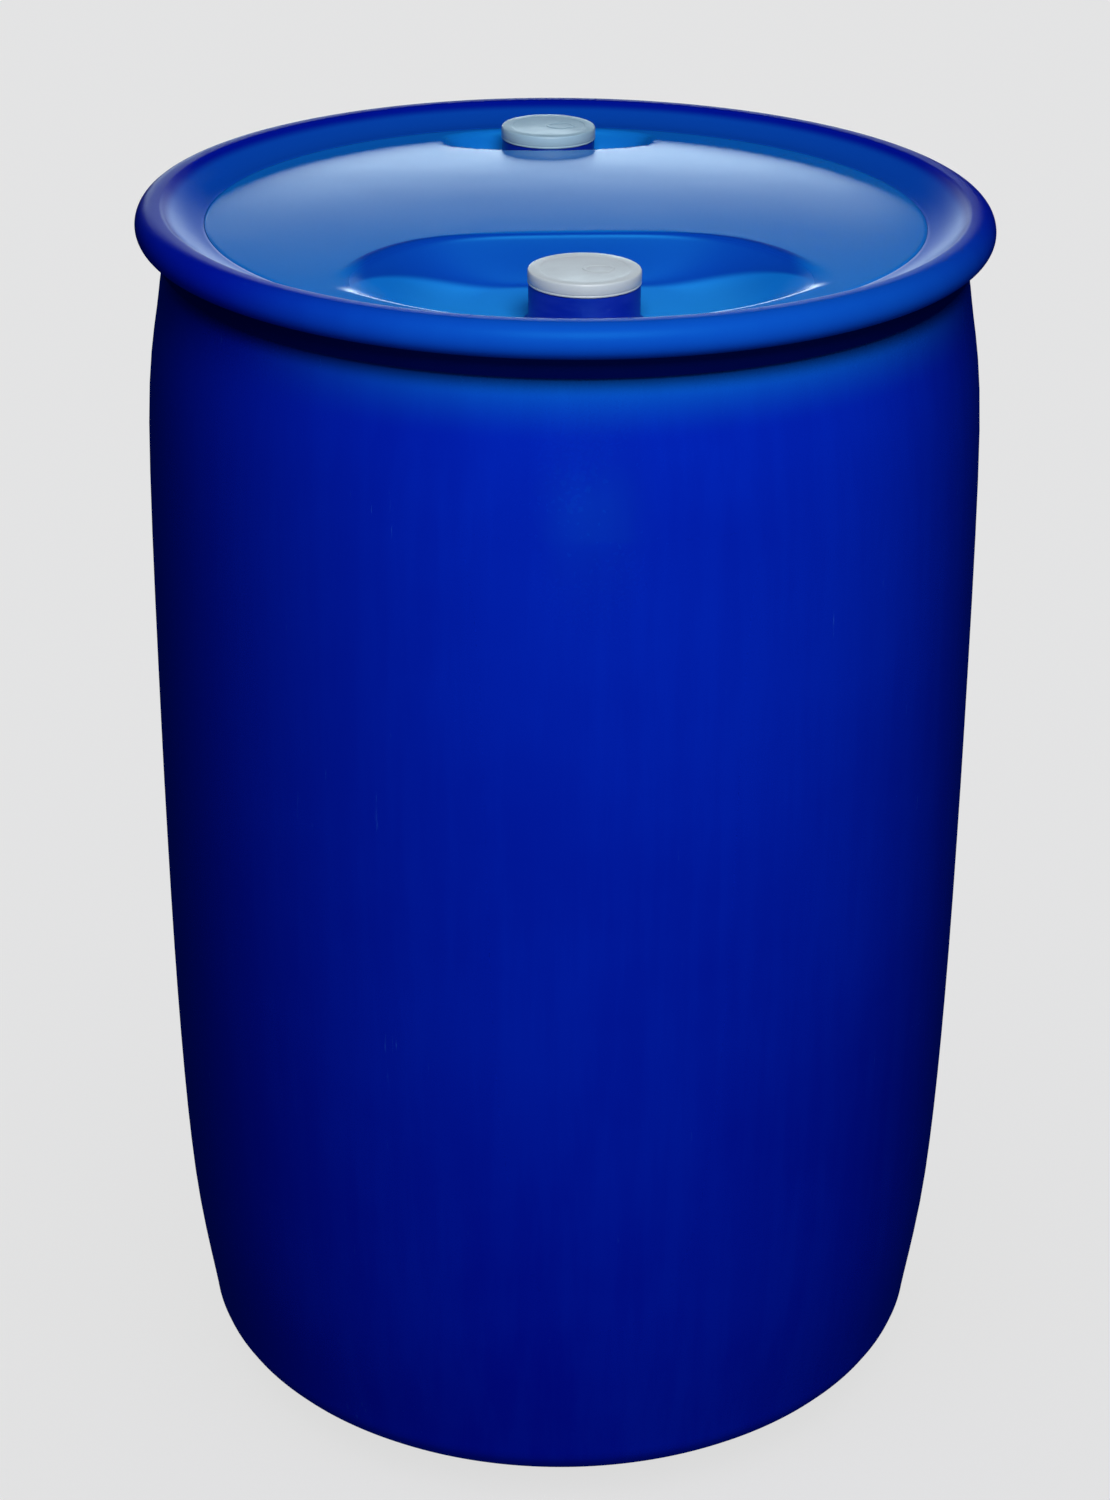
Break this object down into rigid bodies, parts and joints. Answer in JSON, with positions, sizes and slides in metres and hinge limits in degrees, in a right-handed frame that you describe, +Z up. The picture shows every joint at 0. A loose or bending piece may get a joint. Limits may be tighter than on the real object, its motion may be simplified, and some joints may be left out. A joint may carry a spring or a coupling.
{
  "type": "plastic drum",
  "caption": "Barrel-shaped tight-head plastic drum with a carrying ring around its top and two recessed screw bungs under cap seals.",
  "frame": {"origin": "centre of the base, on the plane that the drum stands on", "axes": "+Z up along the drum's axis, -Y towards the front bung (the one with the centre plug), +Y towards the rear bung"},
  "size_m": [0.5944, 0.5944, 0.904],
  "materials": {
    "drum_blue": "blow-moulded polyethylene, satin gloss, deep blue",
    "ring_blue": "compression-moulded polyethylene, satin gloss, deep blue",
    "neck_blue": "injection-moulded polyethylene, satin, dark blue",
    "plug_blue": "injection-moulded polyethylene, satin, dark blue",
    "gasket_black": "moulded rubber, matt black",
    "seal_cream": "thin moulded polyethylene, matt, off-white"
  },
  "bodies": {
    "drum": {"drum_shell": "drum_blue", "l_ring": "ring_blue", "front_neck": "neck_blue", "rear_neck": "neck_blue"},
    "front_gasket": {"front_gasket": "gasket_black"},
    "front_plug": {"front_plug": "plug_blue"},
    "inner_gasket": {"inner_gasket": "gasket_black"},
    "inner_plug": {"inner_plug": "plug_blue"},
    "front_cap_seal": {"front_cap_seal": "seal_cream"},
    "rear_gasket": {"rear_gasket": "gasket_black"},
    "rear_plug": {"rear_plug": "plug_blue"},
    "rear_cap_seal": {"rear_cap_seal": "seal_cream"}
  },
  "joints": [
    {"name": "front_plug_lift", "type": "slide", "parent": "drum", "child": "front_gasket", "axis": [0, 0, 1], "range_m": [0, 0.0255]},
    {"name": "front_plug_turn", "type": "hinge", "parent": "front_gasket", "child": "front_plug", "pos_m": [0, -0.168, 0.9], "axis": [0, 0, 1], "range_deg": [0, 3960]},
    {"name": "inner_plug_lift", "type": "slide", "parent": "front_plug", "child": "inner_gasket", "axis": [0, 0, 1], "range_m": [0, 0.0219]},
    {"name": "inner_plug_turn", "type": "hinge", "parent": "inner_gasket", "child": "inner_plug", "pos_m": [0, -0.168, 0.9], "axis": [0, 0, 1], "range_deg": [0, 4320]},
    {"name": "front_seal_lift", "type": "slide", "parent": "inner_gasket", "child": "front_cap_seal", "axis": [0, 0, 1], "range_m": [0, 0.06]},
    {"name": "rear_plug_lift", "type": "slide", "parent": "drum", "child": "rear_gasket", "axis": [0, 0, 1], "range_m": [0, 0.0241]},
    {"name": "rear_plug_turn", "type": "hinge", "parent": "rear_gasket", "child": "rear_plug", "pos_m": [0, 0.203, 0.9], "axis": [0, 0, 1], "range_deg": [0, 2160]},
    {"name": "rear_seal_lift", "type": "slide", "parent": "rear_gasket", "child": "rear_cap_seal", "axis": [0, 0, 1], "range_m": [0, 0.06]}
  ],
  "couplings": [
    {"joint": "front_plug_lift", "follows": "front_plug_turn", "m_per_rad": 0.00036749},
    {"joint": "inner_plug_lift", "follows": "inner_plug_turn", "m_per_rad": 0.00028871},
    {"joint": "rear_plug_lift", "follows": "rear_plug_turn", "m_per_rad": 0.00063662}
  ]
}
